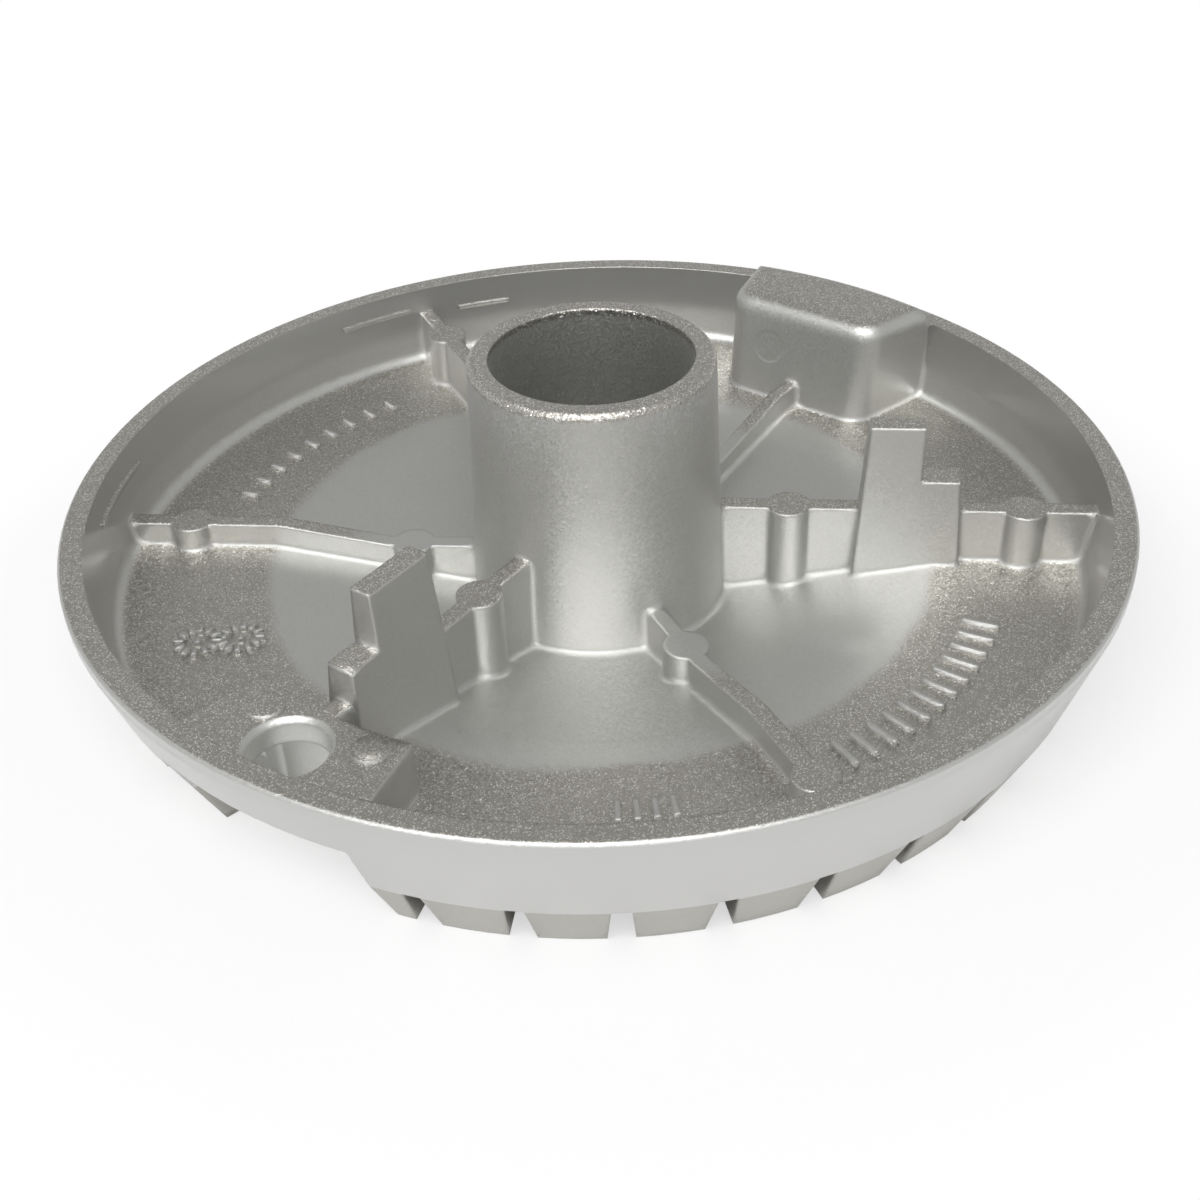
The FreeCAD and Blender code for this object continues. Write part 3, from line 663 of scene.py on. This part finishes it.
def bar_rows(settings):
    """What the node group is given for each row of bars."""
    rows = []
    for radius, first, last, count, length in TICK_ROWS:
        step = math.radians((last - first) / (count - 1))
        rows.append(dict(Radius=radius, Start=math.radians(first), Step=step, Count=count,
                         Length=length, Width=settings.width, Height=settings.height,
                         Centre=(0.0, 0.0, FLOOR_LEVEL)))
    for first, last, height, count in WALL_LINES:
        step = math.radians((last - first) / (count - 1))
        rows.append(dict(WALL_BAR, Radius=RIM_INNER_RADIUS - WALL_BAR_INSET,
                         Start=math.radians(first), Step=step, Count=count,
                         Width=abs(step) * RIM_INNER_RADIUS * WALL_BAR_OVERLAP,
                         Centre=(0.0, 0.0, height)))
    for radius, azimuth in DIALS:
        for ring, count in DIAL_RINGS:
            rows.append(dict(Radius=ring, Start=0.0, Step=math.tau / count, Count=count,
                             Length=DIAL_TICK, Width=settings.width * DIAL_TICK_SHARE,
                             Height=settings.height,
                             Centre=polar(radius, azimuth, FLOOR_LEVEL)))
    return rows


class BURNER_OT_marks(bpy.types.Operator):
    """Build the plain raised marks on the floor of the dish"""

    bl_idname = "burner.marks"
    bl_label = "Marks"

    def execute(self, context):
        settings = context.scene.burner_marks
        material = bpy.data.objects[CASTING].active_material
        tree = tick_tree(material)
        work = bmesh.new()
        for row in bar_rows(settings):
            part = grown("ticks", tree, row)
            work.from_mesh(part)
            bpy.data.meshes.remove(part)
        for across, along in BLOCK_DISCS:
            bmesh.ops.create_cone(
                work, cap_ends=True, segments=DISC_SIDES,
                radius1=settings.ring + settings.disc_rise,
                radius2=settings.ring, depth=settings.disc_rise * 2,
                matrix=Matrix.Translation((across, along, TALL_RIB_LEVEL)))
        mesh = bpy.data.meshes.new("die_marks")
        bmesh.ops.recalc_face_normals(work, faces=work.faces)
        work.to_mesh(mesh)
        work.free()
        mesh.materials.append(material)
        marks = bpy.data.objects.new("die_marks", mesh)
        context.scene.collection.objects.link(marks)
        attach(marks, "root")
        return {"FINISHED"}


# The camera's sensor in millimetres. The room: where its walls pass into the ceiling and its
# front into its back, as shares of a direction, and how the floor is veiled for the camera.
DOME_EDGE = (0.38, 0.72)
ROOM_BACK_EDGE = (-0.2, 0.8)
SENSOR_WIDTH = 36.0
CLIP_START = 5 * MM
FLOOR_SPAN = 3.0
FLOOR_DROP = 0.1 * MM
FLOOR_GREY = 0.86
FLOOR_ROUGHNESS = 0.9
FLOOR_VEIL = 0.6
FLOOR_FADE = (RIM_RADIUS * 0.9, RIM_RADIUS * 1.5)


def lamp(name, place, size, energy):
    """A soft oblong lamp that looks at the origin."""
    light = bpy.data.lights.new(name, "AREA")
    light.shape = "RECTANGLE"
    light.size, light.size_y = size
    light.energy = energy
    made = bpy.data.objects.new(name, light)
    made.location = place
    made.rotation_euler = (-Vector(place)).to_track_quat("-Z", "Y").to_euler()
    bpy.context.scene.collection.objects.link(made)


def studio_world(settings):
    """A grey room that looks white to the camera."""
    world = bpy.data.worlds.new("studio")
    world.use_nodes = True
    tree = world.node_tree
    tree.nodes.clear()
    make = Wiring(tree)
    direction = make.node("ShaderNodeTexCoord").outputs["Generated"]
    parts = make.node("ShaderNodeSeparateXYZ", {"Vector": direction})
    rise = make.step(parts.outputs["Z"], *DOME_EDGE)
    behind = make.step(parts.outputs["Y"], *ROOM_BACK_EDGE)
    low = make.mix(behind, settings.room_front, settings.room_back)
    strength = make.mix(rise, low, settings.dome)
    seen = make.node("ShaderNodeLightPath").outputs["Is Camera Ray"]
    strength = make.mix(seen, strength, 1.0)
    background = make.node("ShaderNodeBackground", {"Color": (1.0, 1.0, 1.0, 1.0),
                                                    "Strength": strength})
    output = make.node("ShaderNodeOutputWorld")
    tree.links.new(background.outputs[0], output.inputs["Surface"])
    bpy.context.scene.world = world


def floor_material():
    """White floor that keeps the shadow close to the object and fades to plain white."""
    material, tree, shader = new_material("studio_floor")
    make = Wiring(tree)
    shader.inputs["Base Color"].default_value = opaque([FLOOR_GREY] * 3)
    shader.inputs["Roughness"].default_value = FLOOR_ROUGHNESS
    white = make.node("ShaderNodeEmission", {"Color": (1.0, 1.0, 1.0, 1.0), "Strength": 1.0})
    place = make.node("ShaderNodeTexCoord").outputs["Object"]
    reach = make.node("ShaderNodeVectorMath", {0: place}, operation="LENGTH")
    fade = make.step(reach.outputs["Value"], *FLOOR_FADE)
    seen = make.node("ShaderNodeLightPath").outputs["Is Camera Ray"]
    veil = make.math("MAXIMUM", fade, FLOOR_VEIL)
    mixed = make.node("ShaderNodeMixShader", {0: make.both(veil, seen),
                                              1: shader.outputs[0], 2: white.outputs[0]})
    output = next(node for node in tree.nodes if node.type == "OUTPUT_MATERIAL")
    tree.links.new(mixed.outputs[0], output.inputs["Surface"])
    return material


class BURNER_OT_stage(bpy.types.Operator):
    """Set up the floor, the light and the camera"""

    bl_idname = "burner.stage"
    bl_label = "Stage"

    def execute(self, context):
        settings = context.scene.burner_stage
        mesh = bpy.data.meshes.new("floor")
        corners = [(across * FLOOR_SPAN, along * FLOOR_SPAN, 0.0)
                   for across, along in ((-1, -1), (1, -1), (1, 1), (-1, 1))]
        mesh.from_pydata(corners, [], [(0, 1, 2, 3)])
        floor = bpy.data.objects.new("floor", mesh)
        context.scene.collection.objects.link(floor)
        mesh.materials.append(floor_material())
        floor.location.z = CAD_BOX[0].z - FLOOR_DROP
        studio_world(settings)
        lamp("front_lamp", settings.lamp_place, settings.lamp_size, settings.lamp_power)
        camera_data = bpy.data.cameras.new("camera")
        camera_data.lens = settings.lens
        camera_data.sensor_width = SENSOR_WIDTH
        camera_data.shift_x, camera_data.shift_y = settings.shift
        camera_data.clip_start = CLIP_START
        camera = bpy.data.objects.new("camera", camera_data)
        camera.location = settings.camera_place
        camera.rotation_euler = settings.camera_turn
        context.scene.collection.objects.link(camera)
        context.scene.camera = camera
        context.scene.view_settings.view_transform = "Standard"
        return {"FINISHED"}


class BURNER_PT_panel(bpy.types.Panel):
    """Buttons for the parts of the scene."""

    bl_idname = "BURNER_PT_panel"
    bl_label = "Gas burner head"
    bl_space_type = "VIEW_3D"
    bl_region_type = "UI"
    bl_category = "Burner"

    def draw(self, context):
        layout = self.layout
        scene = context.scene
        for settings in (scene.burner_casting, scene.burner_marks, scene.burner_stage):
            column = layout.column()
            for name in type(settings).__annotations__:
                column.prop(settings, name)
        for operator in OPERATORS:
            layout.operator(operator.bl_idname)


OPERATORS = (BURNER_OT_casting, BURNER_OT_marks, BURNER_OT_stage)
CLASSES = (CastingSettings, MarkSettings, StageSettings, *OPERATORS, BURNER_PT_panel)


def register():
    for kind in CLASSES:
        bpy.utils.register_class(kind)
    bpy.types.Scene.burner_casting = bpy.props.PointerProperty(type=CastingSettings)
    bpy.types.Scene.burner_marks = bpy.props.PointerProperty(type=MarkSettings)
    bpy.types.Scene.burner_stage = bpy.props.PointerProperty(type=StageSettings)


def unregister():
    del bpy.types.Scene.burner_stage
    del bpy.types.Scene.burner_marks
    del bpy.types.Scene.burner_casting
    for kind in reversed(CLASSES):
        bpy.utils.unregister_class(kind)


def main():
    register()
    bpy.ops.burner.casting()
    bpy.ops.burner.marks()
    bpy.ops.burner.stage()


if __name__ == "__main__":
    main()
